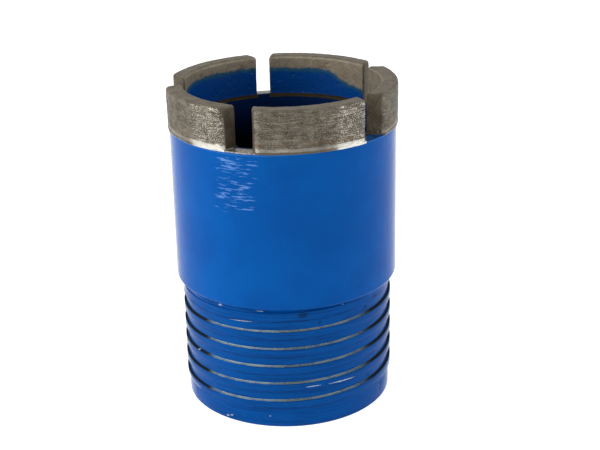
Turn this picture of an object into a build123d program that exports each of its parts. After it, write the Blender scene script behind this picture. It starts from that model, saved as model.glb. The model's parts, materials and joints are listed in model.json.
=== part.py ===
"""Diamond core bit: a turned steel shell with a threaded pin and a brazed segment crown.

Frame: origin on the bit's axis at the pin's end face, +Z up the axis to the cutting crown.
Angles run counter-clockwise, seen from the crown, from the front of the bit (-Y).
All sizes are in millimetres and degrees.
"""
from build123d import *
import math
import os

# Shell
BODY_DIAMETER = 76.0
WALL = 4.5
RIM_HEIGHT = 97.4          # pin end to rim, which is also the floor of the waterways
RIM_FLARE = 0.45           # how far the shell swells under the crown
RIM_FLARE_LENGTH = 3.0

# Shoulder between the shell and the pin
NECK_HEIGHT = 42.6
SHOULDER_LENGTH = 1.8
SHOULDER_ROUND = 1.5

# Pin thread: right-hand, trapezoidal
THREAD_PITCH = 6.35
THREAD_SETBACK = 1.8       # from the shell's face in to the crests
THREAD_DEPTH = 0.75
CREST_WIDTH = 2.95
FLANK_ANGLE = 5.0
THREAD_START_GAP = 0.3     # pilot to the underside of the first full crest
THREAD_START_ANGLE = 297.0
RIDGE_EMBED = 0.5          # depth of the ridge's foot inside the pin's wall

# Plain pilot below the thread
PILOT_LENGTH = 6.0
PILOT_STEP = 0.05          # how far the pilot stands proud of the thread's root
PILOT_CHAMFER = 0.5

# Crown
CROWN_PROUD = 0.25         # segment beyond the rim's edge
GAUGE_CLEARANCE = 0.5      # segment inside the shell's bore
SEGMENT_HEIGHT = 13.6
TOP_ROUND = 0.8
END_ROUND = 0.7

# Each segment was set by hand, so no two lie quite alike. A row holds the angles of the two outer
# corners, then how many degrees each end face leans into its waterway by the time it meets the bore.
SEGMENTS = [
    (-13.4, 42.9, 4.0, 2.8),
    (58.0, 113.5, 6.0, 4.5),
    (127.0, 185.3, 6.0, 2.8),
    (197.6, 254.3, 2.9, 7.0),
    (277.5, 331.3, 3.5, 2.9),
]

# Braze between each segment and the rim
BRAZE_THICKNESS = 0.3
INNER_BEAD_DROP = 1.2
INNER_BEAD_PROUD = 0.2     # the inner bead's thickness on the bore, level with the rim
OUTER_BEAD_DROP = 0.4
BEAD_INSET = 0.05          # how far a bead stops short of the segment's face

body_radius = BODY_DIAMETER / 2
bore_radius = body_radius - WALL
rim_radius = body_radius + RIM_FLARE
crest_radius = body_radius - THREAD_SETBACK
root_radius = crest_radius - THREAD_DEPTH
pilot_radius = root_radius + PILOT_STEP
crown_outer_radius = rim_radius + CROWN_PROUD
crown_inner_radius = bore_radius - GAUGE_CLEARANCE
shoulder_height = NECK_HEIGHT + SHOULDER_LENGTH
segment_foot = RIM_HEIGHT + BRAZE_THICKNESS
crown_height = segment_foot + SEGMENT_HEIGHT


def at_angle(radius, angle):
    """Plan point at a radius and an angle counter-clockwise from the front."""
    turn = math.radians(angle)
    return (radius * math.sin(turn), -radius * math.cos(turn))


def turned(points):
    """Solid of revolution about the bit's axis from an outline of (radius, height) points."""
    outline = make_face(Polyline([(radius, 0, height) for radius, height in points], close=True))
    return revolve(outline, Axis.Z, 360)


def pin_blank():
    """The pin before threading: a tube with its plain pilot, reaching up past the thread's end."""
    top = shoulder_height + THREAD_PITCH
    return turned([
        (bore_radius, 0),
        (pilot_radius - PILOT_CHAMFER, 0),
        (pilot_radius, PILOT_CHAMFER),
        (pilot_radius, PILOT_LENGTH),
        (root_radius, PILOT_LENGTH),
        (root_radius, top),
        (bore_radius, top),
    ])


def shell_wall():
    """The wall above the pin: the tapered shoulder, rounded at its top, and the flared rim."""
    wall = turned([
        (bore_radius, NECK_HEIGHT),
        (root_radius, NECK_HEIGHT),
        (body_radius, shoulder_height),
        (body_radius, RIM_HEIGHT - RIM_FLARE_LENGTH),
        (rim_radius, RIM_HEIGHT),
        (bore_radius, RIM_HEIGHT),
    ])
    return fillet(edge_at(wall, body_radius, shoulder_height), SHOULDER_ROUND)


def edge_at(solid, radius, height):
    """The turned edge of a solid at a radius and a height."""
    def distance(edge):
        return abs(edge.radius - radius) + abs(edge.arc_center.Z - height)
    rings = [edge for edge in solid.edges() if edge.geom_type == GeomType.CIRCLE]
    return min(rings, key=distance)


def thread_ridge():
    """The helical ridge, from inside the pilot up to inside the shoulder's taper."""
    taper_rise = THREAD_DEPTH * SHOULDER_LENGTH / (body_radius - root_radius)
    start = PILOT_LENGTH - CREST_WIDTH - THREAD_PITCH / 8
    end = NECK_HEIGHT + taper_rise + THREAD_PITCH / 8
    foot_radius = root_radius - RIDGE_EMBED
    flank = (crest_radius - foot_radius) * math.tan(math.radians(FLANK_ANGLE))
    path = Helix(THREAD_PITCH, end - start, foot_radius)
    section = Plane(origin=path @ 0, x_dir=(1, 0, 0), z_dir=(0, -1, 0)) * make_face(Polyline([
        (0, -flank),
        (crest_radius - foot_radius, 0),
        (crest_radius - foot_radius, CREST_WIDTH),
        (0, CREST_WIDTH + flank),
    ], close=True))
    ridge = sweep(section, path, is_frenet=True)
    first_crest = PILOT_LENGTH + THREAD_START_GAP
    turn = THREAD_START_ANGLE - 90 + 360 * (start - first_crest) / THREAD_PITCH
    return Pos(0, 0, start) * Rot(0, 0, turn) * ridge


def thread_lead_cut():
    """Ring that chamfers the thread's start and clears the pilot."""
    reach = crest_radius + 2 * THREAD_PITCH
    return turned([
        (pilot_radius, -THREAD_PITCH),
        (reach, -THREAD_PITCH),
        (reach, PILOT_LENGTH + reach - pilot_radius),
        (pilot_radius, PILOT_LENGTH),
    ])


def steel_shell():
    """The turned shell with its thread, in one piece."""
    threaded_pin = pin_blank() + (thread_ridge() - thread_lead_cut())
    return threaded_pin + shell_wall()


def segment_plan(outer_from, outer_to, lean_from, lean_to):
    """Plan outline of one segment, carried past both crown faces along its end faces."""
    def end_line(outer_angle, inner_angle):
        outer = Vector(*at_angle(crown_outer_radius, outer_angle))
        inner = Vector(*at_angle(crown_inner_radius, inner_angle))
        reach = (outer - inner).normalized() * (crown_outer_radius - crown_inner_radius)
        return outer + reach, inner - reach
    far_from, near_from = end_line(outer_from, outer_from - lean_from)
    far_to, near_to = end_line(outer_to, outer_to + lean_to)
    middle = (outer_from + outer_to) / 2
    far_middle = Vector(*at_angle(2 * crown_outer_radius, middle))
    return make_face(Polyline([near_from, far_from, far_middle, far_to, near_to], close=True))


def crown_segment(row):
    """One sintered segment: a slice of the crown ring with worn-round top and end edges."""
    ring = turned([
        (crown_inner_radius, segment_foot),
        (crown_outer_radius, segment_foot),
        (crown_outer_radius, crown_height),
        (crown_inner_radius, crown_height),
    ])
    slice_plan = Pos(0, 0, segment_foot) * segment_plan(*row)
    segment = ring & extrude(slice_plan, SEGMENT_HEIGHT)
    segment = fillet(segment.edges().filter_by(Axis.Z), END_ROUND)
    return fillet(segment.faces().sort_by(Axis.Z)[-1].edges(), TOP_ROUND)


def braze_joint(row):
    """The braze film under one segment, with a bead in the corner at the bore and at the outside."""
    flare_slope = (rim_radius - body_radius) / RIM_FLARE_LENGTH
    ring = turned([
        (bore_radius, RIM_HEIGHT),
        (bore_radius, RIM_HEIGHT - INNER_BEAD_DROP),
        (bore_radius - INNER_BEAD_PROUD, RIM_HEIGHT),
        (crown_inner_radius + BEAD_INSET, segment_foot),
        (crown_outer_radius - BEAD_INSET, segment_foot),
        (rim_radius - OUTER_BEAD_DROP * flare_slope, RIM_HEIGHT - OUTER_BEAD_DROP),
        (rim_radius, RIM_HEIGHT),
    ])
    height = BRAZE_THICKNESS + INNER_BEAD_DROP + OUTER_BEAD_DROP
    slice_plan = Pos(0, 0, segment_foot - height) * segment_plan(*row)
    return ring & extrude(slice_plan, height)


os.makedirs("parts", exist_ok=True)
export_step(steel_shell(), "parts/steel_shell.step")
for number, row in enumerate(SEGMENTS, start=1):
    export_step(crown_segment(row), f"parts/crown_segment_{number}.step")
    export_step(braze_joint(row), f"parts/braze_joint_{number}.step")
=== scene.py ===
"""Diamond core bit: the enamelled shell, the sintered crown and its braze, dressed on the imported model.

Lengths are in metres, and in the materials in millimetres. Angles are in degrees and run
counter-clockwise, seen from the crown, from the front of the bit (-Y).
"""

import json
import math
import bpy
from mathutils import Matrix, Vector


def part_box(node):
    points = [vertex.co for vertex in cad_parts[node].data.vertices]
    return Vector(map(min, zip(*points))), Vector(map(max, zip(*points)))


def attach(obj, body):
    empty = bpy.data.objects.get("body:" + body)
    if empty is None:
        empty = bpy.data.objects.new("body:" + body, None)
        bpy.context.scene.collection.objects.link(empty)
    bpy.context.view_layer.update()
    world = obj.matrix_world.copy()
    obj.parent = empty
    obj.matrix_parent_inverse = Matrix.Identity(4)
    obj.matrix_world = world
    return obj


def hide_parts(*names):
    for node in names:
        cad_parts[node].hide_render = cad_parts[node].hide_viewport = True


bl_info = {
    "name": "Diamond Core Bit",
    "version": (1, 0, 0),
    "blender": (4, 5, 0),
    "location": "View3D > Sidebar > Core Bit",
    "description": "Makes a used, enamelled diamond core bit round its packed model",
    "category": "Object",
}

import bmesh
import bpy
import numpy as np
from bpy.props import FloatProperty, FloatVectorProperty, IntProperty, PointerProperty
from mathutils import Matrix, Vector

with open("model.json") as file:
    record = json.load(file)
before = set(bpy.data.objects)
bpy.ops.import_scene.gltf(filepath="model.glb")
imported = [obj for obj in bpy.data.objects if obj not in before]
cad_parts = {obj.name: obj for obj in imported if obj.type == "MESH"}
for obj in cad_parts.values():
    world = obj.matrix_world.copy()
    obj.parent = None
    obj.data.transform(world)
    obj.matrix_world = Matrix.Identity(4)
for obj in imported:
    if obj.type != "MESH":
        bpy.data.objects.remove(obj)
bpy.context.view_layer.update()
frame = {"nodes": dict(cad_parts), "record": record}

SHELL = "steel_shell"
SEGMENTS = sorted(name for name in frame["nodes"] if name.startswith("crown_segment"))
BRAZES = sorted(name for name in frame["nodes"] if name.startswith("braze_joint"))
RIM_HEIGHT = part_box(SHELL)[1].z
RIM_RADIUS = max(vertex.co.xy.length for vertex in frame["nodes"][SHELL].data.vertices)
FOOT_HEIGHT, CROWN_HEIGHT = (corner.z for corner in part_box(SEGMENTS[0]))
MM = 0.001


def floats(*names):
    """Sockets of a node tree that hold plain numbers."""
    return [(name, "Float") for name in names]


def srgb(red, green, blue):
    """Linear colour of display values from 0 to 255."""
    def linear(value):
        share = value / 255
        return share / 12.92 if share <= 0.04045 else ((share + 0.055) / 1.055) ** 2.4
    return (linear(red), linear(green), linear(blue), 1.0)


# --- Node trees ---------------------------------------------------------------------------------


class Value:
    """Output of a node, which can be used in a formula."""

    def __init__(self, nodes, socket):
        self.nodes = nodes
        self.socket = socket

    def __add__(self, other):
        return self.nodes.formula("ADD", self, other)

    def __radd__(self, other):
        return self.nodes.formula("ADD", other, self)

    def __sub__(self, other):
        return self.nodes.formula("SUBTRACT", self, other)

    def __rsub__(self, other):
        return self.nodes.formula("SUBTRACT", other, self)

    def __mul__(self, other):
        return self.nodes.formula("MULTIPLY", self, other)

    def __truediv__(self, other):
        return self.nodes.formula("DIVIDE", self, other)

    def __rtruediv__(self, other):
        return self.nodes.formula("DIVIDE", other, self)

    @property
    def is_vector(self):
        return self.socket.type == "VECTOR"


class Nodes:
    """One node tree, with short calls that add nodes and join them."""

    def __init__(self, tree, inputs=(), outputs=()):
        self.tree = tree
        for side, sockets in (("INPUT", inputs), ("OUTPUT", outputs)):
            for name, kind in sockets:
                tree.interface.new_socket(name, in_out=side, socket_type="NodeSocket" + kind)
        self.entry = tree.nodes.new("NodeGroupInput") if inputs else None

    def given(self, name):
        """Value of one of the tree's own inputs."""
        return Value(self, self.entry.outputs[name])

    def deliver(self, **values):
        """Joins the tree's outputs, named with underscores for spaces."""
        exit_node = self.tree.nodes.new("NodeGroupOutput")
        for name, value in values.items():
            self.feed(exit_node.inputs[name.replace("_", " ")], value)

    def feed(self, socket, value):
        """Joins a value to a socket, or sets the socket to a plain number or colour."""
        if isinstance(value, Value):
            self.tree.links.new(value.socket, socket)
        else:
            socket.default_value = value

    def add(self, kind, inputs=None, **settings):
        """New node, with its settings and the values of its inputs by name or number."""
        node = self.tree.nodes.new(kind)
        for name, value in settings.items():
            setattr(node, name, value)
        for key, value in (inputs or {}).items():
            self.feed(node.inputs[key], value)
        return node

    def out(self, kind, inputs=None, output=0, **settings):
        """Value of one output of a new node."""
        return Value(self, self.add(kind, inputs, **settings).outputs[output])

    def math(self, operation, *values):
        return self.out("ShaderNodeMath", dict(enumerate(values)), operation=operation)

    def vector(self, operation, *values):
        output = "Value" if operation in ("LENGTH", "DISTANCE", "DOT_PRODUCT") else "Vector"
        return self.out("ShaderNodeVectorMath", dict(enumerate(values)), output, operation=operation)

    def formula(self, operation, first, second):
        """Sum, difference, product or quotient of numbers and vectors."""
        vectors = [isinstance(term, tuple) or isinstance(term, Value) and term.is_vector
                   for term in (first, second)]
        if all(vectors):
            return self.vector(operation, first, second)
        if operation == "MULTIPLY" and any(vectors):
            vector, factor = (first, second) if vectors[0] else (second, first)
            return self.out("ShaderNodeVectorMath", {"Vector": vector, "Scale": factor}, operation="SCALE")
        return self.math(operation, first, second)

    def combine(self, x, y, z):
        return self.out("ShaderNodeCombineXYZ", {"X": x, "Y": y, "Z": z})

    def split(self, vector):
        node = self.add("ShaderNodeSeparateXYZ", {0: vector})
        return [Value(self, output) for output in node.outputs]

    def ramp(self, value, low, high, start=0.0, end=1.0):
        """Smooth, clamped rise from start to end while the value goes from low to high."""
        inputs = {"Value": value, "From Min": low, "From Max": high, "To Min": start, "To Max": end}
        return self.out("ShaderNodeMapRange", inputs, interpolation_type="SMOOTHSTEP")

    def near(self, value, reach, full):
        """Mask that is 1 where the value lies within full of zero, and 0 beyond its reach."""
        return self.ramp(self.math("ABSOLUTE", value), reach, full)

    def mix(self, factor, start, end):
        return self.out("ShaderNodeMix", {0: factor, 2: start, 3: end})

    def blend(self, factor, start, end):
        """Colour between two colours."""
        return self.out("ShaderNodeMix", {0: factor, 6: start, 7: end}, 2, data_type="RGBA")

    def layered(self, colour, layers):
        """Colour with others over it, from a (mask, display colour) pair for each."""
        for mask, shade in layers:
            colour = self.blend(mask, colour, srgb(*shade))
        return colour

    def noise(self, place, scale, detail=2.0, roughness=0.5):
        inputs = {"Vector": place, "Scale": scale, "Detail": detail, "Roughness": roughness}
        return self.out("ShaderNodeTexNoise", inputs)

    def round_bit(self, angle, points, low=0.0, high=1.0):
        """Level from low to high at an angle round the bit, on a curve through (angle, level) points."""
        node = self.add("ShaderNodeFloatCurve", {"Value": (angle + 180.0) / 360.0})
        node.mapping.use_clip = False
        curve = node.mapping.curves[0]
        places = [((turn + 180.0) / 360.0, (level - low) / (high - low)) for turn, level in points]
        for place, point in zip(places, curve.points):
            point.location = place
        for place in places[2:]:
            curve.points.new(*place)
        node.mapping.update()
        return Value(self, node.outputs[0]) * (high - low) + low

    def move(self, geometry, **where):
        """Geometry set to a new Position, or moved by an Offset."""
        return self.out("GeometryNodeSetPosition", {"Geometry": geometry, **where})

    def dress(self, geometry, material):
        """Real geometry with a material."""
        geometry = self.out("GeometryNodeRealizeInstances", {"Geometry": geometry})
        return self.out("GeometryNodeSetMaterial", {"Geometry": geometry, "Material": material})

    def join(self, *parts):
        """Geometries in one."""
        node = self.add("GeometryNodeJoinGeometry")
        for part in parts:
            self.feed(node.inputs[0], part)
        return Value(self, node.outputs[0])

    def seen_by(self, *rays):
        """1 for rays of the named kinds, 0 for all others."""
        path = self.add("ShaderNodeLightPath")
        seen = 0.0
        for ray in rays:
            seen = self.math("MAXIMUM", seen, Value(self, path.outputs[f"Is {ray} Ray"]))
        return seen

    def use(self, group, **inputs):
        """Node of a shared group, as a function that gives its outputs by name."""
        node = self.add("ShaderNodeGroup", node_tree=group)
        for name, value in inputs.items():
            self.feed(node.inputs[name.replace("_", " ")], value)
        return lambda name: Value(self, node.outputs[name])


# --- Meshes -------------------------------------------------------------------------------------


def rounded(points, radii, steps):
    """Outline of (radius, height) points, with an arc at each corner that has a radius."""
    outline = []
    for index, (corner, radius) in enumerate(zip(points, radii)):
        if not radius:
            outline.append(corner)
            continue
        here = Vector(corner)
        before = (Vector(points[index - 1]) - here).normalized()
        after = (Vector(points[(index + 1) % len(points)]) - here).normalized()
        half = before.angle(after) / 2
        centre = here + (before + after).normalized() * radius / math.sin(half)
        first = here + before * radius / math.tan(half) - centre
        last = here + after * radius / math.tan(half) - centre
        for step in range(steps + 1):
            share = step / steps
            outline.append(tuple(centre + (first.lerp(last, share)).normalized() * radius))
    return outline


def turned_mesh(name, outlines, columns):
    """Mesh turned about the bit's axis from open outlines of (radius, height) points."""
    vertices = []
    faces = []
    for outline in outlines:
        start = len(vertices)
        for radius, height in outline:
            for column in range(columns):
                turn = 2 * math.pi * column / columns
                vertices.append((radius * math.cos(turn), radius * math.sin(turn), height))
        for row in range(len(outline) - 1):
            for column in range(columns):
                following = (column + 1) % columns
                low, high = start + row * columns, start + (row + 1) * columns
                faces.append((low + column, low + following, high + following, high + column))
    mesh = bpy.data.meshes.new(name)
    mesh.from_pydata(vertices, [], faces)
    return mesh


def new_object(name, mesh):
    piece = bpy.data.objects.new(name, mesh)
    bpy.context.scene.collection.objects.link(piece)
    return piece


def grown(name, mesh, tree, values):
    """Plain mesh object that a Geometry Nodes tree makes of a mesh."""
    piece = new_object(name, mesh)
    modifier = piece.modifiers.new("Grow", "NODES")
    modifier.node_group = tree
    for socket, value in values.items():
        modifier[tree.interface.items_tree[socket].identifier] = value
    depsgraph = bpy.context.evaluated_depsgraph_get()
    result = bpy.data.meshes.new_from_object(piece.evaluated_get(depsgraph))
    piece.modifiers.clear()
    piece.data = result
    result.name = name
    for slot in reversed(range(len(result.materials))):
        if result.materials[slot] is None:
            result.materials.pop(index=slot)
    if not result.polygons:
        raise RuntimeError(name + " came out empty")
    return piece


def finish_piece(piece, crease, *nodes):
    """Shades a piece, and makes it ride in place of its CAD nodes."""
    edit = bmesh.new()
    edit.from_mesh(piece.data)
    bmesh.ops.recalc_face_normals(edit, faces=edit.faces)
    edit.to_mesh(piece.data)
    edit.free()
    piece.data.shade_smooth()
    piece.data.set_sharp_from_angle(angle=math.radians(crease))
    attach(piece, "root")
    next(
        part["material_slot"] for part in frame["record"]["subparts"] if part["node"] == nodes[0])
    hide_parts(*nodes)


def segment_span(node):
    """Faces and ends of a segment, measured on its CAD node."""
    points = np.array([vertex.co for vertex in frame["nodes"][node].data.vertices])
    radius = np.hypot(points[:, 0], points[:, 1])
    middle = points[:, :2].mean(axis=0)
    middle_angle = math.degrees(math.atan2(middle[0], -middle[1]))
    angle = np.degrees(np.arctan2(points[:, 0], -points[:, 1])) - middle_angle
    angle = (angle + 180) % 360 - 180
    inner, outer = float(radius.min()), float(radius.max())
    outside = radius > (inner + outer) / 2

    def corners(side):
        """Angles at the outer and the inner face of the flat end on one side."""
        near = [np.argmax(np.where(half, side * angle, -360.0)) for half in (outside, ~outside)]
        slope = (angle[near[0]] - angle[near[1]]) / (radius[near[0]] - radius[near[1]])
        return [float(middle_angle + angle[near[0]] + slope * (face - radius[near[0]]))
                for face in (outer, inner)]

    return {"inner": inner, "outer": outer, "start": corners(-1), "end": corners(1)}


# --- Geometry Nodes -----------------------------------------------------------------------------


RING_SOCKETS = floats("Start Outside", "Start Inside", "End Outside", "End Inside", "Inner Radius",
                      "Outer Radius", "Foot Height", "Seed")

# Spans of the surface's noises to the metre, and the shares of them between which they cut in.
GRAIN_SCALE = 2200.0
PIT_SCALE, PIT_LIMITS = 750.0, (0.60, 0.72)
WEAR_SCALE, WEAR_LIMITS = 230.0, (0.35, 0.75)
LUMP_SCALE, LUMP_LIMITS = 500.0, (0.4, 0.7)

# Crystals: smallest and largest share of the grit's size, share of it that is bedded, largest turn.
GRIT_SHARES = (0.45, 1.0)
GRIT_BEDDED = 0.8
GRIT_TURN = 6.28
SEEDS_PER_UNIT = 1000.0


def geometry_tree(name, inputs):
    """Nodes of a new tree that makes one geometry."""
    return Nodes(bpy.data.node_groups.new(name, "GeometryNodeTree"), inputs, [("Geometry", "Geometry")])


def wound_thread_tree():
    """Winds a one-start thread on the turned surface it is given, between the pilot and the shoulder.

    One pitch of the thread's outline is swept along turns that lie flat, and is then lifted. The
    turns meet edge to edge. The ends are held to the pilot's and the shoulder's own rings.
    """
    nodes = geometry_tree("Wound Thread", [
        ("Geometry", "Geometry"), ("Turns", "Int"), ("Columns", "Int"), ("Material", "Material"),
        *floats("Taper Slope", "Pitch", "Root Radius", "Depth", "Crest Width", "Flank Run", "Edge Round",
                "First Crest", "Pilot Radius", "Low Height", "Neck Height", "High Height",
                "Relief Radius", "Relief Height", "Weld")])
    given = nodes.given
    pitch, crest, flank, depth = (given(name) for name in ("Pitch", "Crest Width", "Flank Run", "Depth"))
    root_start = (crest - pitch) * 0.5
    corners = [(0.0, root_start), (0.0, 0.0 - flank), (depth, 0.0), (depth, crest), (0.0, crest + flank),
               (0.0, root_start + pitch)]
    switch = nodes.add("GeometryNodeIndexSwitch", data_type="VECTOR")
    for _ in corners[2:]:
        switch.index_switch_items.new()
    nodes.feed(switch.inputs["Index"], nodes.out("GeometryNodeInputIndex"))
    for number, (reach, rise) in enumerate(corners):
        nodes.feed(switch.inputs[str(number)], nodes.combine(reach, 0.0 - rise, 0.0))
    line = nodes.out("GeometryNodeMeshLine", {"Count": len(corners)})
    line = nodes.move(line, Position=Value(nodes, switch.outputs[0]))
    outline = nodes.out("GeometryNodeMeshToCurve", {"Mesh": line})
    outline = nodes.out("GeometryNodeFilletCurve", {
        "Curve": outline, "Count": 2, "Radius": given("Edge Round"), "Limit Radius": True}, mode="POLY")
    outline = nodes.out("GeometryNodeSubdivideCurve", {"Curve": outline, "Cuts": 1})
    spiral = nodes.out("GeometryNodeCurveSpiral", {
        "Resolution": given("Columns"), "Rotations": given("Turns"), "Start Radius": given("Root Radius"),
        "End Radius": given("Root Radius"), "Height": 0.0, "Reverse": True})
    steps = nodes.add("GeometryNodeCaptureAttribute")
    steps.capture_items.new("FLOAT", "Step")
    nodes.feed(steps.inputs["Geometry"], spiral)
    nodes.feed(steps.inputs["Step"], nodes.out("GeometryNodeInputIndex"))
    path = nodes.out("GeometryNodeSetCurveNormal", {"Curve": Value(nodes, steps.outputs["Geometry"])},
                     mode="Z_UP")
    surface = nodes.out("GeometryNodeCurveToMesh", {"Curve": path, "Profile Curve": outline})

    x, y, rise = nodes.split(nodes.out("GeometryNodeInputPosition"))
    step = Value(nodes, steps.outputs["Step"])
    lift = step / given("Columns") * pitch + given("First Crest")
    height = nodes.math("MINIMUM", given("High Height"), rise + lift)
    height = nodes.math("MAXIMUM", given("Low Height"), height)
    radius = nodes.vector("LENGTH", nodes.combine(x, y, 0.0))
    lead = given("Pilot Radius") + height - given("Low Height")
    taper = given("Root Radius") + (height - given("Neck Height")) * given("Taper Slope")
    relief = given("Relief Radius") + nodes.math("MAXIMUM", 0.0, given("Relief Height") - height)
    bound = nodes.math("MINIMUM", nodes.math("MINIMUM", lead, relief), radius)
    bound = nodes.math("MAXIMUM", taper, bound)
    at_foot = nodes.math("LESS_THAN", height, given("Low Height") + given("Weld"))
    target = nodes.mix(at_foot, bound, given("Pilot Radius"))
    turn = nodes.math("MODULO", step + 0.1, given("Columns")) - 0.1
    turn = nodes.math("ROUND", turn) / given("Columns") * (2 * math.pi)
    outward = nodes.combine(nodes.math("COSINE", turn), nodes.math("SINE", turn), 0.0)
    surface = nodes.move(surface, Position=outward * target + nodes.combine(0.0, 0.0, height))
    whole = nodes.out("GeometryNodeMergeByDistance", {
        "Geometry": nodes.join(surface, given("Geometry")), "Distance": given("Weld")})
    nodes.deliver(Geometry=nodes.dress(whole, given("Material")))
    return nodes.tree


def ring_outward(nodes, along, across):
    """Direction from the bit's axis, from shares of the way along and across a segment.

    Each end is a line from its outer to its inner corner, and so its angle changes across the ring.
    """
    start = nodes.mix(across, nodes.given("Start Inside"), nodes.given("Start Outside"))
    end = nodes.mix(across, nodes.given("End Inside"), nodes.given("End Outside"))
    angle = nodes.math("RADIANS", nodes.mix(along, start, end))
    return nodes.combine(nodes.math("SINE", angle), 0.0 - nodes.math("COSINE", angle), 0.0)


def crown_segment_tree():
    """Bends a block with worn-round edges to the ring, pits its faces and beds grit in them."""
    nodes = geometry_tree("Crown Segment", RING_SOCKETS + floats(
        "Length", "Height", "Round", "Foot Inset", "Grid", "Grain Depth", "Pit Depth", "Wear Depth",
        "Grit Size", "Grit Density") + [("Matrix", "Material"), ("Grit", "Material")])
    given = nodes.given
    edge, foot = given("Round"), given("Foot Height")
    thickness = given("Outer Radius") - given("Inner Radius")
    size = nodes.combine(given("Length"), thickness, given("Height") + edge)
    counts = [nodes.math("CEIL", side / given("Grid")) + 1.0 for side in nodes.split(size)]
    block = nodes.out("GeometryNodeMeshCube", {
        "Size": (1.0, 1.0, 1.0), "Vertices X": counts[0], "Vertices Y": counts[1], "Vertices Z": counts[2]})

    place = nodes.out("GeometryNodeInputPosition") * size
    inset = size * 0.5 - nodes.combine(edge, edge, edge)
    core = nodes.vector("MAXIMUM", inset * -1.0, nodes.vector("MINIMUM", inset, place))
    x, y, z = nodes.split(core + nodes.vector("NORMALIZE", place - core) * edge)
    along = 0.5 + x / given("Length")
    across = 0.5 - y / thickness
    rise = nodes.math("MAXIMUM", 0.0, z + (given("Height") - edge) * 0.5)
    sink = nodes.math("POWER", 1.0 - rise / given("Height"), 3.0) * given("Foot Inset")
    radius = given("Inner Radius") + across * (thickness - sink)
    bent = ring_outward(nodes, along, across) * radius + nodes.combine(0.0, 0.0, rise + foot)
    body = nodes.move(block, Position=bent)

    position = nodes.out("GeometryNodeInputPosition")
    free = nodes.ramp(nodes.split(position)[2], foot, foot + given("Grid") * 2.0)
    place = position + nodes.combine(0.0, 0.0, given("Seed"))
    grain = nodes.noise(place, GRAIN_SCALE, 2.0, 0.6) * given("Grain Depth")
    pits = nodes.ramp(nodes.noise(place, PIT_SCALE, 2.0, 0.55), *PIT_LIMITS) * given("Pit Depth")
    wear = nodes.ramp(nodes.noise(place, WEAR_SCALE, 2.0, 0.5), *WEAR_LIMITS) * given("Wear Depth")
    normal = nodes.out("GeometryNodeInputNormal")
    body = nodes.move(body, Offset=normal * (0.0 - (grain + pits + wear) * free))
    body = nodes.dress(body, given("Matrix"))

    facing = nodes.vector("DOT_PRODUCT", normal, nodes.vector("NORMALIZE", position))
    bore_side = nodes.ramp(facing, 0.1, -0.3)
    scatter = nodes.add("GeometryNodeDistributePointsOnFaces", {
        "Mesh": body, "Density": free * (1.0 - bore_side) * given("Grit Density"),
        "Seed": given("Seed") * SEEDS_PER_UNIT})
    crystal = nodes.out("GeometryNodeMeshIcoSphere", {"Radius": given("Grit Size"), "Subdivisions": 1})
    turn = nodes.out("FunctionNodeRandomValue", {"Min": (0.0,) * 3, "Max": (GRIT_TURN,) * 3},
                     data_type="FLOAT_VECTOR")
    spread = nodes.out("FunctionNodeRandomValue", {2: GRIT_SHARES[0], 3: GRIT_SHARES[1]}, 1)
    points, outward = (Value(nodes, scatter.outputs[name]) for name in ("Points", "Normal"))
    points = nodes.move(points, Offset=outward * (given("Grit Size") * -GRIT_BEDDED))
    grit = nodes.out("GeometryNodeInstanceOnPoints", {
        "Points": points, "Instance": crystal, "Rotation": turn, "Scale": spread})
    nodes.deliver(Geometry=nodes.join(body, nodes.dress(grit, given("Grit"))))
    return nodes.tree


def braze_seam_tree():
    """Sweeps the braze's outline under one segment, with lumps where its two beads set."""
    nodes = geometry_tree("Braze Seam", [
        ("Geometry", "Geometry"), *RING_SOCKETS, ("Steps", "Int"), ("Lump", "Float"),
        ("Material", "Material")])
    given = nodes.given
    outline = nodes.out("GeometryNodeMeshToCurve", {"Mesh": given("Geometry")})
    line = nodes.out("GeometryNodeCurvePrimitiveLine", {"Start": (0.0, 0.0, 0.0), "End": (0.0, 1.0, 0.0)})
    path = nodes.out("GeometryNodeResampleCurve", {"Curve": line, "Count": given("Steps")})
    seam = nodes.out("GeometryNodeCurveToMesh", {"Curve": path, "Profile Curve": outline, "Fill Caps": True})
    reach, along, drop = nodes.split(nodes.out("GeometryNodeInputPosition"))
    height = 0.0 - drop
    across = (reach - given("Inner Radius")) / (given("Outer Radius") - given("Inner Radius"))
    outward = ring_outward(nodes, along, across)
    place = outward * reach + nodes.combine(0.0, 0.0, height)
    lumps = nodes.ramp(nodes.noise(place, LUMP_SCALE, 2.0, 0.6), *LUMP_LIMITS)
    below = nodes.ramp(height, given("Foot Height"), given("Foot Height") - given("Lump"))
    place = place + outward * (lumps * below * nodes.math("SIGN", across - 0.5) * given("Lump"))
    nodes.deliver(Geometry=nodes.dress(nodes.move(seam, Position=place), given("Material")))
    return nodes.tree


# --- Shared shader groups -----------------------------------------------------------------------


GROUPS = {}

# Share of painted glint on the crown's metal at a few angles round the crown, where it faces the lamps.
PAINTED_GLINT = [(-180, 0.35), (-130, 0.25), (-90, 0.2), (-60, 0.1), (-50, 0.25), (-42, 0.8), (-30, 0.8),
          (-13, 0.4), (-2, 0.2), (14, 0.2), (25, 0.4), (34, 1.0), (43, 0.9), (60, 0.15), (100, 0.3),
          (140, 0.2), (180, 0.35)]


def shader_group(name, inputs, outputs):
    return Nodes(bpy.data.node_groups.new(name, "ShaderNodeTree"), inputs, outputs)


def place_group():
    """Where a point lies on the bit: in millimetres, and as angle, height and radius."""
    nodes = shader_group("Place on Bit", (), [
        ("Millimetres", "Vector"), *floats("Angle", "Height", "Radius")])
    place = nodes.out("ShaderNodeTexCoord", output="Object") * (1 / MM)
    x, y, height = nodes.split(place)
    angle = nodes.math("DEGREES", nodes.math("ARCTAN2", x, 0.0 - y))
    nodes.deliver(Millimetres=place, Angle=angle, Height=height,
                  Radius=nodes.vector("LENGTH", nodes.combine(x, y, 0.0)))
    return nodes.tree


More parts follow.
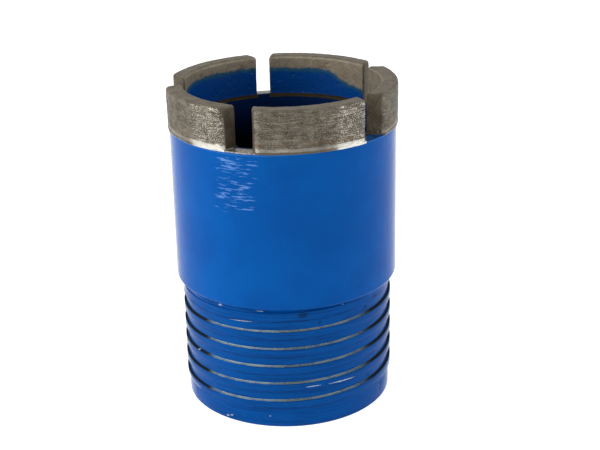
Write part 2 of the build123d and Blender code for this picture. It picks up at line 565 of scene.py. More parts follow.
def speckle_group():
    """Scattered spots of uneven size, and soft clouds, from one point in millimetres."""
    nodes = shader_group("Speckle", [("Place", "Vector"), *floats("Spot Size", "Amount", "Cloud Size")],
                         floats("Spots", "Clouds"))
    given = nodes.given
    spots = nodes.noise(given("Place"), 1.0 / given("Spot Size"), 2.0, 0.55)
    limit = nodes.mix(given("Amount"), 0.80, 0.45)
    nodes.deliver(Spots=nodes.ramp(spots, limit, limit + 0.08),
                  Clouds=nodes.noise(given("Place"), 1.0 / given("Cloud Size"), 3.0, 0.55))
    return nodes.tree


def streak_group():
    """Fine lines that run round the bit, as turning and grinding leave them."""
    nodes = shader_group("Turning Streaks", [("Place", "Vector"), *floats("Length", "Width")],
                         floats("Streaks"))
    x, y, z = nodes.split(nodes.given("Place"))
    slow, fast = 1.0 / nodes.given("Length"), 1.0 / nodes.given("Width")
    nodes.deliver(Streaks=nodes.noise(nodes.combine(x * slow, y * slow, z * fast), 1.0, 3.0, 0.6))
    return nodes.tree


def mark_group():
    """One ragged mark on the bit, such as a chip, a stain or a scratch."""
    nodes = shader_group("Mark", floats("Angle", "Height", "Radius", "At Angle", "At Height", "Half Length",
                                        "Half Width", "Slant", "Raggedness", "Noise"), floats("Mask"))
    given = nodes.given
    along = nodes.math("RADIANS", given("Angle") - given("At Angle")) * given("Radius")
    up = given("Height") - given("At Height") - along * given("Slant")
    reach = nodes.combine(along / given("Half Length"), up / given("Half Width"), 0.0)
    distance = nodes.vector("LENGTH", reach) + (given("Noise") - 0.5) * given("Raggedness")
    nodes.deliver(Mask=nodes.ramp(distance, 1.1, 0.8))
    return nodes.tree


def polish_group():
    """How much painted glint the crown's outer face and braze get, round the bit."""
    nodes = shader_group("Polish", floats("Angle", "Noise"), floats("Polish"))
    level = nodes.round_bit(nodes.given("Angle"), PAINTED_GLINT)
    nodes.deliver(Polish=nodes.ramp(level + (nodes.given("Noise") - 0.5) * 0.7, 0.1, 0.9))
    return nodes.tree


def shared_groups():
    """The shader groups, made once, by a short name."""
    if not GROUPS:
        GROUPS.update(place=place_group(), speckle=speckle_group(), streaks=streak_group(),
                      mark=mark_group(), polish=polish_group())
    return GROUPS


# --- Materials ----------------------------------------------------------------------------------


def empty_nodes(owner):
    """Nodes of a material or world, with nothing in them."""
    owner.use_nodes = True
    owner.node_tree.nodes.clear()
    return Nodes(owner.node_tree)


def new_material(name, specular):
    """Material with an empty Principled shader, and the values of where a point lies."""
    material = bpy.data.materials.new(name)
    nodes = empty_nodes(material)
    shader = nodes.add("ShaderNodeBsdfPrincipled")
    output = nodes.add("ShaderNodeOutputMaterial")
    nodes.tree.links.new(shader.outputs[0], output.inputs["Surface"])
    shader.inputs["Specular IOR Level"].default_value = specular
    place = nodes.use(shared_groups()["place"])
    return material, nodes, shader, [place(name) for name in ("Millimetres", "Angle", "Height", "Radius")]


def finish_shader(nodes, shader, colour, metallic, roughness, relief=None):
    """Joins what varies over a piece to its shader. The relief is in millimetres."""
    for name, value in (("Base Color", colour), ("Metallic", metallic), ("Roughness", roughness)):
        nodes.feed(shader.inputs[name], value)
    if relief is not None:
        bump = nodes.add("ShaderNodeBump", {"Height": relief, "Distance": MM, "Strength": 1.0})
        nodes.tree.links.new(bump.outputs["Normal"], shader.inputs["Normal"])


def streaks(nodes, place, length, width):
    return nodes.use(shared_groups()["streaks"], Place=place, Length=length, Width=width)("Streaks")


def polish_round(nodes, angle, noise):
    return nodes.use(shared_groups()["polish"], Angle=angle, Noise=noise)("Polish")


def spots_and_clouds(nodes, place, spot_size, amount, cloud_size):
    speckle = nodes.use(shared_groups()["speckle"], Place=place, Spot_Size=spot_size, Amount=amount,
                        Cloud_Size=cloud_size)
    return speckle("Spots"), speckle("Clouds")


# Height of the paint's upper edge at a few angles round the bit, and the limits of that height.
PAINT_LINE = [(-180, 96.6), (-130, 97.0), (-100, 96.2), (-80, 95.9), (-65, 97.2), (-42, 97.2),
              (-20, 97.0), (0, 97.4), (16, 97.7), (29, 97.8), (60, 97.4), (71, 96.7), (77, 96.1),
              (95, 96.6), (140, 97.1), (180, 96.6)]
PAINT_LIMITS = (95.0, 98.0)

# Share of painted highlight on the worn crests' bare steel at a few angles round the bit: light where it
# faces the lamps, dark elsewhere.
PAINTED_CREST_GLINT = [(-180, 0.35), (-120, 0.5), (-75, 0.0), (-52, 0.12), (-38, 0.8), (-15, 0.8), (4, 0.5),
                 (22, 0.62), (38, 0.55), (56, 0.1), (75, 0.0), (110, 0.3), (150, 0.5), (180, 0.35)]

# Marks on the enamel: angle, height, half length, half width and slant.
BARE_MARKS = [
    (-39.0, 42.3, 0.9, 0.30, 0.10), (-14.5, 42.8, 1.3, 0.30, 0.0), (30.4, 42.8, 0.5, 0.25, 0.1),
    (-25.4, 38.3, 4.8, 0.14, 0.06), (12.5, 15.2, 2.6, 0.15, 0.0), (29.5, 15.0, 5.0, 0.20, -0.02),
    (-36.8, 1.4, 0.7, 0.30, 0.2), (-34.0, 1.9, 0.6, 0.25, 0.2), (-11.1, 4.1, 0.35, 0.2, 0.0),
    (-58.0, 22.0, 0.6, 0.2, 0.0), (118.0, 41.8, 0.9, 0.3, 0.0), (163.0, 42.3, 1.2, 0.3, 0.1),
    (-128.0, 41.6, 0.8, 0.35, 0.0), (142.0, 14.8, 3.4, 0.18, 0.03), (-150.0, 27.0, 2.0, 0.15, 0.0),
]
DARK_MARKS = [
    (46.7, 38.7, 0.8, 0.5, 0.2), (51.1, 37.0, 0.7, 0.45, 0.2), (7.9, 41.3, 1.6, 0.9, 0.0),
    (16.9, 37.9, 0.8, 0.5, 0.3), (55.0, 41.2, 0.5, 0.4, 0.0), (38.4, 48.4, 0.3, 0.25, 0.0),
    (68.5, 32.2, 0.4, 0.3, 0.0), (37.0, 18.2, 0.4, 0.3, 0.0),
    (49.5, 12.4, 0.6, 0.3, 0.4), (-110.0, 38.4, 1.2, 0.5, 0.0), (170.0, 35.5, 0.9, 0.5, 0.2),
]


def marks(nodes, angle, height, radius, rows, raggedness, noise):
    """Mask of several marks together."""
    total = None
    for row in rows:
        spot = dict(zip(("At_Angle", "At_Height", "Half_Length", "Half_Width", "Slant"), row))
        mark = nodes.use(shared_groups()["mark"], Angle=angle, Height=height, Radius=radius,
                         Raggedness=raggedness, Noise=noise, **spot)("Mask")
        total = mark if total is None else nodes.math("MAXIMUM", total, mark)
    return total


def enamel_material(shell):
    """Glossy enamel over turned steel, worn through along the thread's crests."""
    material, nodes, shader, (mm, angle, height, radius) = new_material("blue_enamel_steel", 0.045)
    pitch, pilot, neck, body, relief_start = (size / MM for size in (
        shell.pitch, shell.pilot_length, shell.neck_height, shell.body_radius, shell.relief_height))
    rim = RIM_HEIGHT / MM
    _, clouds = spots_and_clouds(nodes, mm, 0.9, 0.35, 14.0)
    fine = nodes.noise(mm, 2.6, 3.0, 0.6)
    coarse = nodes.noise(mm, 0.9, 3.0, 0.6)

    # Where each finish lies. Between the bore's radius and the pin's root, inside turns to outside.
    outside = nodes.ramp(radius, 34.4, 34.7)
    edge = nodes.round_bit(angle, PAINT_LINE, *PAINT_LIMITS) + (coarse - 0.5) * 0.9
    painted = nodes.ramp(edge - height, -0.05, 0.05) * outside

    def from_turn(phase):
        """Height above the nearest turn of a line that winds with the thread."""
        return nodes.math("FRACT", phase + 0.5) * pitch - 0.5 * pitch

    # Wear lies along the crests' upper edges, with sooty dirt and painted shade just under them, and painted
    # shadow along their lower edges.
    crest_top = (shell.first_crest + shell.crest_width) / MM + (angle - 180.0) * (pitch / 360.0)
    phase = (height - crest_top) / pitch
    above = from_turn(phase)
    past_pilot = nodes.ramp(height, pilot + 0.3, pilot + 0.9)
    threaded = past_pilot * nodes.ramp(height, relief_start + 0.5, relief_start - 0.2) * outside
    # Painted highlight on the worn crests' steel, by angle round the bit.
    crest_glint = nodes.round_bit(angle, PAINTED_CREST_GLINT)
    wear_noise = streaks(nodes, mm, 4.0, 3.0)
    wear_width = 0.02 + wear_noise * 0.22 + (1.0 - crest_glint) * 0.14
    worn = nodes.near(above - 0.10, wear_width + 0.05, wear_width - 0.05) * threaded
    silver = nodes.ramp(crest_glint + (fine - 0.5) * 0.7, 0.15, 0.95)
    # Dark band just under the crests' upper edges, strongest where the crest glint is low: painted shade,
    # with some sooty dirt.
    soot_and_shade = nodes.near(above + 0.18, 0.48, 0.16) * threaded
    soot_and_shade = soot_and_shade * nodes.ramp(crest_glint + (coarse - 0.5) * 0.5, 1.0, 0.1)
    # Painted shadow just under each crest's lower edge, in the thread's root.
    under_crest_shadow = nodes.near(from_turn(phase + shell.crest_width / shell.pitch) + 0.1, 0.42, 0.1) * outside
    under_crest_shadow = under_crest_shadow * past_pilot * nodes.ramp(height, neck - 1.0, neck - 1.8)
    under_crest_shadow = under_crest_shadow * nodes.ramp(nodes.noise(mm, 0.25, 2.0), 0.3, 0.55)

    chips = marks(nodes, angle, height, body, BARE_MARKS, 2.4, fine) * outside
    stains = marks(nodes, angle, height, body, DARK_MARKS, 3.6, coarse) * outside
    # Dark line in the crease where the thread meets the shoulder: painted shade, with some dirt.
    neck_shade_and_dirt = nodes.near(height - (neck + 0.45), 0.36, 0.10)
    neck_shade_and_dirt = neck_shade_and_dirt * nodes.ramp(nodes.noise(mm, 0.22, 2.0, 0.5), 0.36, 0.58) * outside
    pin = nodes.ramp(height, neck + 0.8, neck - 0.2) * outside

    # Painted highlight of a lamp on the enamel's ripples below the rim, in a band that leans, 24 degrees left
    # of the front. The ripples also give the bump there.
    ripples = streaks(nodes, mm, 5.0, 0.6)
    lean = angle + 24.0 + (88.0 - height) * 0.15
    ripple_glint_zone = nodes.ramp(height, 76.0, 79.5) * nodes.ramp(height, 97.0, 95.5)
    ripple_glint_zone = ripple_glint_zone * nodes.near(lean, 12.5, 4.0) * outside
    ripple_glint_band = nodes.ramp(nodes.noise(nodes.combine(0.0, 0.0, height), 0.32, 1.0), 0.3, 0.6)
    painted_ripple_glint = nodes.ramp(ripples + ripple_glint_band * 0.10 + ripple_glint_zone * 0.06, 0.645, 0.755)
    painted_ripple_glint = painted_ripple_glint * nodes.ramp(ripple_glint_zone, 0.0, 0.3)

    # Colours.
    turning = streaks(nodes, mm, 14.0, 0.5)
    blue = nodes.blend(nodes.ramp(clouds, 0.3, 0.7), srgb(0, 83, 167), srgb(0, 91, 177))
    blue = nodes.layered(blue, [
        (pin * 0.5, (0, 74, 146)),
        (nodes.ramp(turning, 0.48, 0.68) * pin * 0.75, (4, 58, 122)),
        (nodes.ramp(coarse, 0.55, 0.8) * pin * 0.4, (6, 60, 120)),
        (under_crest_shadow * 0.8, (4, 36, 84)),
        (painted_ripple_glint * 0.58, (122, 170, 235)),
        (nodes.ramp(height, rim - 0.2, rim - 0.04) * 0.6, (14, 44, 62)),
        # Painted highlight along the paint's lip, just below its upper edge.
        (nodes.near(edge - height - 0.5, 0.35, 0.1) * 0.35, (70, 135, 205)),
        (soot_and_shade * 0.85, (14, 30, 30)),
        (neck_shade_and_dirt * 0.75, (12, 30, 55)),
        (stains * (0.3 + fine * 0.6), (20, 32, 34))])
    steel = nodes.blend(nodes.ramp(fine, 0.35, 0.7), srgb(92, 80, 62), srgb(176, 174, 168))
    # Bare steel of the worn crests, painted dark where the crest glint is low and light where it is high.
    worn_steel_and_glint = nodes.blend(silver, srgb(30, 36, 28), srgb(170, 186, 178))
    # The bore's paint darkens towards the bottom: painted shade deeper in the bore.
    inside = nodes.blend(nodes.ramp(height, 80.0, 97.0), srgb(1, 4, 9), srgb(4, 34, 78))
    colour = nodes.blend(painted, nodes.blend(outside, inside, steel), blue)
    worn_through = worn * painted * nodes.ramp(wear_noise + (fine - 0.5) * 0.5, 0.25, 0.6, 0.45, 0.9)
    colour = nodes.blend(worn_through, colour, worn_steel_and_glint)
    colour = nodes.layered(colour, [(chips * painted * 0.75, (186, 196, 206))])

    bare = nodes.math("MAXIMUM", worn * silver * 0.4, chips * 0.5)
    rough = nodes.mix(painted, 0.42, 0.16 + soot_and_shade * 0.4 + stains * 0.3 + worn * 0.2)
    relief = fine * 0.010 + nodes.noise(mm, 0.35, 1.0) * 0.05 + streaks(nodes, mm, 5.0, 0.55) * 0.006
    relief = relief + ripples * ripple_glint_zone * 0.05 - (worn + chips) * 0.06 - (1.0 - painted) * 0.08
    finish_shader(nodes, shader, colour, nodes.mix(painted, outside, bare * painted) * 0.85,
                  rough + (fine - 0.5) * 0.05, relief)
    return material


# Height above the segments' foot that the paint reached inside the crown, and the limits of it.
OVERSPRAY = [(-180, 9.2), (-150, 9.7), (-120, 9.8), (-104, 8.6), (-90, 5.0), (-30, 8.0), (30, 7.0),
             (60, 3.6), (110, 3.6), (130, 4.8), (139, 5.8), (146, 7.8), (153, 9.0), (180, 9.2)]
OVERSPRAY_LIMITS = (0.0, 13.0)


def matrix_material():
    """Sintered matrix: grey-brown and granular, with ground streaks, painted glints at some angles round the
    bit, and a paler foot.
    """
    material, nodes, shader, (mm, angle, height, _) = new_material("sintered_diamond_matrix", 0.12)
    above = height - FOOT_HEIGHT / MM
    spots, clouds = spots_and_clouds(nodes, mm, 0.55, 0.42, 3.2)
    pits, _ = spots_and_clouds(nodes, mm + (7.0, 3.0, 5.0), 0.8, 0.36, 9.0)
    grind = streaks(nodes, mm, 3.4, 0.30)
    fine = nodes.noise(mm, 3.4, 3.0, 0.65)
    polish = polish_round(nodes, angle, nodes.noise(mm, 0.35, 2.0, 0.6))

    # Which way the surface faces.
    x, y, z = nodes.split(nodes.out("ShaderNodeNewGeometry", output="Normal"))
    across_x, across_y, _ = nodes.split(mm)
    facing = nodes.vector("DOT_PRODUCT", nodes.combine(x, y, 0.0),
                          nodes.vector("NORMALIZE", nodes.combine(across_x, across_y, 0.0)))
    outer = nodes.ramp(facing, 0.55, 0.85)
    inner = nodes.ramp(facing, -0.55, -0.85)
    upright = nodes.math("ABSOLUTE", z)
    level = nodes.ramp(upright, 0.55, 0.85)
    ends = nodes.ramp(nodes.math("MAXIMUM", nodes.math("ABSOLUTE", facing), upright), 0.75, 0.5)

    # The paler foot, the coppery line above it, and the paint sprayed inside.
    foot = nodes.ramp(above + (nodes.noise(mm, 0.5, 2.0) - 0.5), 1.5, 0.9)
    # The foot is painted lighter where the painted glint round the bit is high.
    foot = foot * outer * (0.25 + polish * 0.75)
    copper = nodes.near(above - 2.5 + (fine - 0.5) * 0.8, 0.5, 0.1) * outer
    copper = copper * nodes.ramp(nodes.noise(mm, 0.16, 2.0), 0.42, 0.58)
    reach = nodes.round_bit(angle, OVERSPRAY, *OVERSPRAY_LIMITS)
    short_of = reach + (nodes.noise(mm, 0.45, 3.0, 0.6) - 0.5) * 2.2 - above
    spray = nodes.ramp(short_of, -0.5, 0.7) * inner
    fringe = nodes.ramp(short_of, 2.2, 0.3) * spray
    rust = nodes.ramp(nodes.noise(mm + (3.0, 9.0, 1.0), 0.28, 3.0, 0.6), 0.58, 0.72) * inner

    brown = nodes.blend(nodes.ramp(clouds, 0.32, 0.68), srgb(76, 69, 58), srgb(106, 99, 86))
    colour = nodes.layered(brown, [
        (inner * 0.45, (158, 146, 126)),
        (nodes.ramp(grind, 0.46, 0.34) * outer * 0.45, (52, 46, 38)),
        # Painted glints: light grinding streaks and fine specks, raised by the painted glint round the bit.
        (nodes.ramp(grind, 0.52, 0.68) * outer * (0.2 + polish * 0.5), (180, 174, 162)),
        (nodes.ramp(fine, 0.54, 0.66) * (0.25 + polish * outer * 0.7), (214, 210, 200)),
        (spots * 0.5, (70, 62, 50)),
        (pits * outer * 0.75, (40, 34, 28)),
        (ends * 0.6, (74, 64, 50)),
        (level * 0.35, (120, 112, 98)),
        (foot * 0.8, (206, 203, 194)),
        (copper * 0.45, (118, 90, 58)),
        (rust * 0.6, (92, 62, 42)),
        (spray, (0, 60, 130)),
        (fringe * 0.75, (38, 84, 92))])

    glint = nodes.ramp(grind + (fine - 0.5) * 0.6, 0.48, 0.68) * outer * (0.3 + polish * 0.7)
    metallic = (1.0 - spray) * (0.35 + glint * 0.5 + foot * 0.3) * (1.0 - ends * 0.6)
    roughness = 0.58 - glint * 0.28 - foot * 0.12 + pits * 0.2 - spray * 0.2
    relief = fine * 0.03 + grind * outer * 0.035 - pits * 0.10 - spots * 0.04
    finish_shader(nodes, shader, colour, metallic, roughness, relief * (1.0 - spray * 0.6))
    return material


def grit_material():
    """Diamond grit, bedded in the matrix: small glassy crystals, half covered by it."""
    material, nodes, shader, (mm, *_) = new_material("diamond_grit", 0.6)
    tint = nodes.noise(mm, 1.4, 1.0)
    colour = nodes.blend(tint, srgb(104, 98, 84), srgb(170, 166, 150))
    finish_shader(nodes, shader, colour, 0.0, 0.18 + tint * 0.3)
    return material


def braze_material():
    """Silver braze: dull, with brown flux burnt on towards the bore, and painted glints at some angles round
    the bit.
    """
    material, nodes, shader, (mm, angle, _, radius) = new_material("silver_braze", 0.5)
    spots, clouds = spots_and_clouds(nodes, mm, 0.7, 0.5, 4.0)
    inner = nodes.ramp(radius, 35.0, 34.4)
    polish = polish_round(nodes, angle, clouds)
    # The braze is painted lighter where the painted glint round the bit is high.
    silver = nodes.blend(polish * polish, srgb(84, 76, 62), srgb(214, 214, 208))
    silver = nodes.layered(silver, [(spots * 0.6, (104, 92, 72))])
    flux = nodes.blend(clouds, srgb(40, 34, 26), srgb(84, 66, 40))
    finish_shader(nodes, shader, nodes.blend(inner, silver, flux), 0.8 - inner * 0.6,
                  0.34 + spots * 0.2 + inner * 0.2, clouds * 0.12)
    return material


def white_ground_material(stage):
    """Plain ground that shows white and still takes the bit's shadow."""
    material = bpy.data.materials.new("white_ground")
    nodes = empty_nodes(material)
    cloth = nodes.add("ShaderNodeBsdfDiffuse", {"Color": tuple(stage.ground_colour) + (1.0,)})
    glow = nodes.add("ShaderNodeEmission", {
        "Color": (1.0, 1.0, 1.0, 1.0), "Strength": nodes.seen_by("Camera", "Glossy") * stage.ground_glow})
    both = nodes.add("ShaderNodeAddShader")
    nodes.tree.links.new(cloth.outputs[0], both.inputs[0])
    nodes.tree.links.new(glow.outputs[0], both.inputs[1])
    output = nodes.add("ShaderNodeOutputMaterial")
    nodes.tree.links.new(both.outputs[0], output.inputs["Surface"])
    return material


# --- Settings -----------------------------------------------------------------------------------


def length_setting(name, description, value):
    return FloatProperty(
        name=name, description=description, default=value, min=0.0, unit="LENGTH", precision=5)


def angle_setting(name, description, degrees):
    return FloatProperty(name=name, description=description, default=math.radians(degrees), unit="ROTATION")


def power_setting(name, description, watts):
    return FloatProperty(name=name, description=description, default=watts, min=0.0, unit="POWER")


class ShellSettings(bpy.types.PropertyGroup):
    """Sizes of the turned shell and its thread."""
    body_radius: length_setting("Body radius", "Outer radius of the plain wall", 38.0 * MM)
    bore_radius: length_setting("Bore radius", "Radius of the through bore", 33.5 * MM)
    flare_length: length_setting("Flare length", "Height over which the wall swells to the rim", 3.0 * MM)
    neck_height: length_setting("Neck height", "Height at which the shoulder's taper starts", 42.6 * MM)
    shoulder_length: length_setting("Shoulder length", "Height of the shoulder's taper", 1.8 * MM)
    shoulder_round: length_setting("Shoulder round", "Radius at the top of the taper", 1.5 * MM)
    pitch: length_setting("Thread pitch", "Rise of the thread in one turn", 6.35 * MM)
    root_radius: length_setting("Root radius", "Radius at the bottom of the thread", 35.45 * MM)
    crest_depth: length_setting("Thread depth", "Height of the crest above the root", 0.75 * MM)
    crest_width: length_setting("Crest width", "Flat width of the crest", 2.95 * MM)
    flank_angle: angle_setting("Flank angle", "Lean of the thread's flanks", 5.0)
    first_crest: length_setting(
        "First crest", "Height of the first crest's lower edge, at the back", 10.586 * MM)
    relief_radius: length_setting(
        "Relief radius", "Radius the crests are turned to below the shoulder", 35.9 * MM)
    relief_height: length_setting("Relief height", "Height from which the crests are turned down", 38.4 * MM)
    pilot_radius: length_setting("Pilot radius", "Radius of the plain band below the thread", 35.5 * MM)
    pilot_length: length_setting("Pilot length", "Height of the plain band below the thread", 6.0 * MM)
    pilot_chamfer: length_setting("Pilot chamfer", "Chamfer at the pin's end", 0.5 * MM)
    edge_round: length_setting("Edge round", "Small round on the turned edges", 0.12 * MM)
    columns: IntProperty(name="Columns", description="Faces round the shell", default=240, min=24, max=360)


class CrownSettings(bpy.types.PropertyGroup):
    """Sizes of the segments' worn surface."""
    edge_round: length_setting("Edge round", "Radius worn on the segments' edges", 1.2 * MM)
    foot_inset: length_setting("Foot inset", "How far the outer face narrows to the rim", 0.22 * MM)
    grid: length_setting("Grid", "Size of the faces that carry the surface", 0.22 * MM)
    grain_depth: length_setting("Grain depth", "Depth of the fine grain", 0.07 * MM)
    pit_depth: length_setting("Pit depth", "Depth of the pits", 0.18 * MM)
    wear_depth: length_setting("Wear depth", "Depth of the broad hollows", 0.10 * MM)
    grit_size: length_setting("Grit size", "Radius of the largest crystals", 0.20 * MM)
    grit_density: FloatProperty(
        name="Grit density", description="Crystals on a square metre", default=900000.0, min=0.0)


class BrazeSettings(bpy.types.PropertyGroup):
    """Sizes of the braze under the segments."""
    inner_drop: length_setting("Inner bead", "How far the bead runs down the bore", 1.2 * MM)
    inner_proud: length_setting("Inner bead thickness", "Thickness of the bead level with the rim", 0.2 * MM)
    outer_drop: length_setting("Outer bead", "How far the bead runs down the rim", 0.4 * MM)
    inset: length_setting("Inset", "How far the bead stops short of the segment's face", 0.05 * MM)
    lump: length_setting("Lumps", "Height of the lumps on the beads", 0.15 * MM)
    tuck: length_setting("Tuck", "How far the outline's hidden side lies from the rim's edges", 0.3 * MM)
    bead_back: length_setting("Bead back", "How far a bead's end reaches into the wall", 0.2 * MM)
    steps: IntProperty(name="Steps", description="Outlines along a seam", default=160, min=8, max=400)


class StageSettings(bpy.types.PropertyGroup):
    """Ground, light and camera."""
    ground_size: length_setting("Ground size", "From the ground's middle to its sides", 6.0)
    ground_colour: FloatVectorProperty(
        name="Ground colour", description="Colour of the ground", subtype="COLOR", default=(0.86, 0.86, 0.86))
    ground_glow: FloatProperty(
        name="Ground glow", description="Strength that brings the ground to white", default=0.78, min=0.0)
    sky_light: FloatProperty(
        name="Sky light", description="Strength of the even light", default=0.26, min=0.0)
    key_power: power_setting("Key power", "Power of the lamp on the left", 16.0)
    fill_power: power_setting("Fill power", "Power of the lamp on the right", 8.0)
    focal_length: FloatProperty(
        name="Focal length", description="Camera's focal length in millimetres", default=78.053, min=1.0)
    camera_distance: length_setting("Camera distance", "Camera to the bit's axis, on the level", 0.420864)
    camera_height: length_setting("Camera height", "Height of the camera", 0.219340)
    camera_pitch: angle_setting("Camera pitch", "How far the camera looks down", 20.825376)
    camera_yaw: angle_setting("Camera yaw", "How far the camera looks to the right", 0.682347)
    camera_roll: angle_setting("Camera roll", "Turn of the camera about its line of sight", 1.222168)


SETTINGS = {"core_bit_shell": ShellSettings, "core_bit_crown": CrownSettings, "core_bit_braze": BrazeSettings,
            "core_bit_stage": StageSettings}


# --- Operators ----------------------------------------------------------------------------------


# Creases sharper than these stay sharp, in degrees.
SHELL_CREASE, SEGMENT_CREASE, BRAZE_CREASE = 35.0, 60.0, 50.0

TURNS_BELOW_FIRST = 2.25        # puts the start of the swept thread below the pilot's ring, out of sight
PAST_CREST = 0.3 * MM           # how far the thread's surface runs up the shoulder past the crest's height
SEED_STEP = 0.1                 # between the segments, so that each has its own surface
BEAD_KNEE = 0.4                 # share of the inner bead's drop at which its hollow is halfway out
WELD = 0.001 * MM               # points of the thread and the turned surface this near are one
LAMP_AIM = (0.0, 0.0, 0.06)


def set_values(settings, *names):
    """Values of a tree's inputs that bear the names of settings."""
    return {name: getattr(settings, name.lower().replace(" ", "_")) for name in names}


def shell_outlines(shell, high_height, slope):
    """Open outlines of the turned shell, above the thread and below it."""
    small = shell.edge_round
    upper = rounded([
        (shell.root_radius + (high_height - shell.neck_height) * slope, high_height),
        (shell.body_radius, shell.neck_height + shell.shoulder_length),
        (shell.body_radius, RIM_HEIGHT - shell.flare_length),
        (RIM_RADIUS, RIM_HEIGHT),
        (shell.bore_radius, RIM_HEIGHT),
        (shell.bore_radius, RIM_HEIGHT / 2),
    ], [0.0, shell.shoulder_round, 0.0, small, small, 0.0], 6)
    lower = rounded([
        (shell.bore_radius, RIM_HEIGHT / 2),
        (shell.bore_radius, 0.0),
        (shell.pilot_radius - shell.pilot_chamfer, 0.0),
        (shell.pilot_radius, shell.pilot_chamfer),
        (shell.pilot_radius, shell.pilot_length),
    ], [0.0, small, small, small, 0.0], 3)
    return [upper, lower]


class COREBIT_OT_shell(bpy.types.Operator):
    """Make the enamelled shell with its thread"""
    bl_idname = "core_bit.shell"
    bl_label = "Shell"

    def execute(self, context):
        shell = context.scene.core_bit_shell
        slope = (shell.body_radius - shell.root_radius) / shell.shoulder_length
        high_height = shell.neck_height + shell.crest_depth / slope + PAST_CREST
        start = shell.first_crest - shell.pitch * TURNS_BELOW_FIRST
        turns = math.ceil((high_height - start + (shell.pitch - shell.crest_width) / 2) / shell.pitch)
        if start + (shell.pitch + shell.crest_width) / 2 > shell.pilot_length:
            raise RuntimeError("the thread starts too high above the pilot")
        mesh = turned_mesh("turned_shell", shell_outlines(shell, high_height, slope), shell.columns)
        values = set_values(shell, "Columns", "Pitch", "Root Radius", "Crest Width", "Edge Round",
                            "Pilot Radius", "Neck Height", "Relief Radius", "Relief Height")
        values.update({
            "Turns": turns, "Depth": shell.crest_depth, "First Crest": start, "Weld": WELD,
            "Flank Run": shell.crest_depth * math.tan(shell.flank_angle), "Taper Slope": slope,
            "Low Height": shell.pilot_length, "High Height": high_height, "Material": enamel_material(shell)})
        piece = grown("enamelled_shell", mesh, wound_thread_tree(), values)
        finish_piece(piece, SHELL_CREASE, SHELL)
        return {"FINISHED"}


def ring_values(span, seed):
    """Values of the inputs that the segment's and the braze's trees share."""
    return {"Start Outside": span["start"][0], "Start Inside": span["start"][1],
            "End Outside": span["end"][0], "End Inside": span["end"][1],
            "Inner Radius": span["inner"], "Outer Radius": span["outer"],
            "Foot Height": FOOT_HEIGHT, "Seed": seed}


class COREBIT_OT_crown(bpy.types.Operator):
    """Make the sintered segments with their grit"""
    bl_idname = "core_bit.crown"
    bl_label = "Crown"

    def execute(self, context):
        crown = context.scene.core_bit_crown
        tree = crown_segment_tree()
        matrix, grit = matrix_material(), grit_material()
        for number, node in enumerate(SEGMENTS, start=1):
            span = segment_span(node)
            arc = math.radians(span["end"][0] - span["start"][0])
            values = ring_values(span, number * SEED_STEP)
            values.update(set_values(crown, "Foot Inset", "Grid", "Grain Depth", "Pit Depth",
                                     "Wear Depth", "Grit Size", "Grit Density"))
            values.update({
                "Length": arc * (span["inner"] + span["outer"]) / 2, "Height": CROWN_HEIGHT - FOOT_HEIGHT,
                "Round": crown.edge_round, "Matrix": matrix, "Grit": grit})
            name = f"sintered_segment_{number}"
            finish_piece(grown(name, bpy.data.meshes.new(name), tree, values), SEGMENT_CREASE, node)
        return {"FINISHED"}


def braze_outline(braze, shell, span):
    """Closed outline of the braze between a segment's foot and the rim, as (radius, height) points."""
    bore, inner_end = shell.bore_radius, RIM_HEIGHT - braze.inner_drop
    outer_end = RIM_HEIGHT - braze.outer_drop
    outer_radius = RIM_RADIUS - braze.outer_drop * (RIM_RADIUS - shell.body_radius) / shell.flare_length
    return [
        (bore, inner_end),
        (bore - braze.inner_proud / 2, RIM_HEIGHT - braze.inner_drop * BEAD_KNEE),
        (bore - braze.inner_proud, RIM_HEIGHT),
        (span["inner"] + braze.inset, FOOT_HEIGHT),
        (span["outer"] - braze.inset, FOOT_HEIGHT),
        (RIM_RADIUS + braze.inset, RIM_HEIGHT),
        (outer_radius, outer_end),
        (outer_radius - braze.bead_back, outer_end),
        (RIM_RADIUS - braze.tuck, RIM_HEIGHT),
        (bore + braze.tuck, RIM_HEIGHT),
        (bore + braze.bead_back, inner_end),
    ]


class COREBIT_OT_braze(bpy.types.Operator):
    """Make the braze under each segment"""
    bl_idname = "core_bit.braze"
    bl_label = "Braze"

    def execute(self, context):
        braze, shell = context.scene.core_bit_braze, context.scene.core_bit_shell
        tree = braze_seam_tree()
        material = braze_material()
        for number, (node, carried) in enumerate(zip(BRAZES, SEGMENTS), start=1):
            span = segment_span(carried)
            outline = braze_outline(braze, shell, span)
            edges = [(index, (index + 1) % len(outline)) for index in range(len(outline))]
            mesh = bpy.data.meshes.new(f"braze_outline_{number}")
            mesh.from_pydata([(radius, height, 0.0) for radius, height in outline], edges, [])
            values = ring_values(span, number * SEED_STEP)
            values.update(set_values(braze, "Steps", "Lump"), Material=material)
            finish_piece(grown(f"braze_seam_{number}", mesh, tree, values), BRAZE_CREASE, node)
        return {"FINISHED"}


def area_lamp(name, side, power, colour, place):
    """Square lamp at a place, turned to shine on the bit."""
    data = bpy.data.lights.new(name, "AREA")
    data.shape = "SQUARE"
    data.size = side
    data.energy = power
    data.color = colour
    lamp = bpy.data.objects.new(name, data)
    lamp.location = place
    lamp.rotation_euler = (Vector(LAMP_AIM) - Vector(place)).to_track_quat("-Z", "Y").to_euler()
    bpy.context.scene.collection.objects.link(lamp)


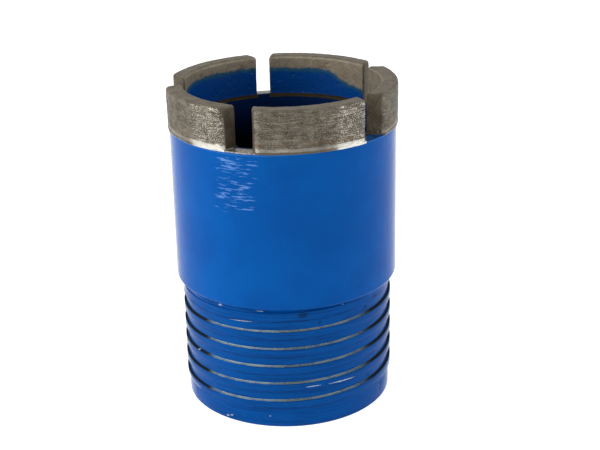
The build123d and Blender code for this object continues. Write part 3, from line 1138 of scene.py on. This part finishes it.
def white_world(strength):
    """Even light, which the camera and polished surfaces see as white."""
    world = bpy.data.worlds.new("studio")
    bpy.context.scene.world = world
    nodes = empty_nodes(world)
    seen = nodes.seen_by("Camera", "Glossy", "Transmission")
    light = nodes.add("ShaderNodeBackground", {
        "Color": (1.0, 1.0, 1.0, 1.0), "Strength": nodes.mix(seen, strength, 1.0)})
    output = nodes.add("ShaderNodeOutputWorld")
    nodes.tree.links.new(light.outputs[0], output.inputs["Surface"])


def stand_camera(stage):
    """Camera at the bit's front, looking down on it."""
    pitch, yaw, roll = stage.camera_pitch, stage.camera_yaw, stage.camera_roll
    forward = Vector((math.sin(yaw) * math.cos(pitch), math.cos(yaw) * math.cos(pitch), -math.sin(pitch)))
    right = Vector((math.cos(yaw), -math.sin(yaw), 0.0))
    up = right.cross(forward)
    rolled_right = right * math.cos(roll) - up * math.sin(roll)
    rolled_up = right * math.sin(roll) + up * math.cos(roll)
    data = bpy.data.cameras.new("camera")
    data.lens = stage.focal_length
    data.sensor_width = 36.0
    data.dof.use_dof = False
    data.clip_start = 0.01
    camera = bpy.data.objects.new("camera", data)
    turn = Matrix((rolled_right, rolled_up, -forward)).transposed()
    place = Matrix.Translation((0.0, -stage.camera_distance, stage.camera_height))
    camera.matrix_world = place @ turn.to_4x4()
    bpy.context.scene.collection.objects.link(camera)
    bpy.context.scene.camera = camera


class COREBIT_OT_stage(bpy.types.Operator):
    """Make the ground, the lamps and the camera"""
    bl_idname = "core_bit.stage"
    bl_label = "Stage"

    def execute(self, context):
        stage = context.scene.core_bit_stage
        side = stage.ground_size
        mesh = bpy.data.meshes.new("ground")
        corners = [(-side, -side, 0.0), (side, -side, 0.0), (side, side, 0.0), (-side, side, 0.0)]
        mesh.from_pydata(corners, [], [(0, 1, 2, 3)])
        mesh.materials.append(white_ground_material(stage))
        new_object("ground", mesh)
        area_lamp("key", 1.1, stage.key_power, (1.0, 0.99, 0.97), (-1.05, -0.48, 0.62))
        area_lamp("fill", 0.9, stage.fill_power, (0.97, 0.98, 1.0), (1.1, -0.25, 0.5))
        white_world(stage.sky_light)
        stand_camera(stage)
        context.scene.view_settings.view_transform = "Standard"
        return {"FINISHED"}


class COREBIT_PT_panel(bpy.types.Panel):
    """Settings of the bit, with a button for each group of pieces"""
    bl_idname = "COREBIT_PT_panel"
    bl_label = "Core Bit"
    bl_space_type = "VIEW_3D"
    bl_region_type = "UI"
    bl_category = "Core Bit"

    def draw(self, context):
        for settings, operator in zip(SETTINGS, OPERATORS):
            box = self.layout.box()
            box.operator(operator.bl_idname)
            group = getattr(context.scene, settings)
            for name in group.bl_rna.properties.keys():
                if name not in ("rna_type", "name"):
                    box.prop(group, name)


OPERATORS = (COREBIT_OT_shell, COREBIT_OT_crown, COREBIT_OT_braze, COREBIT_OT_stage)


def register():
    for kind in (*SETTINGS.values(), *OPERATORS, COREBIT_PT_panel):
        bpy.utils.register_class(kind)
    for name, group in SETTINGS.items():
        setattr(bpy.types.Scene, name, PointerProperty(type=group))


def unregister():
    for name in SETTINGS:
        delattr(bpy.types.Scene, name)
    for kind in reversed((*SETTINGS.values(), *OPERATORS, COREBIT_PT_panel)):
        bpy.utils.unregister_class(kind)


def main():
    register()
    bpy.ops.core_bit.shell()
    bpy.ops.core_bit.crown()
    bpy.ops.core_bit.braze()
    bpy.ops.core_bit.stage()


if __name__ == "__main__":
    main()
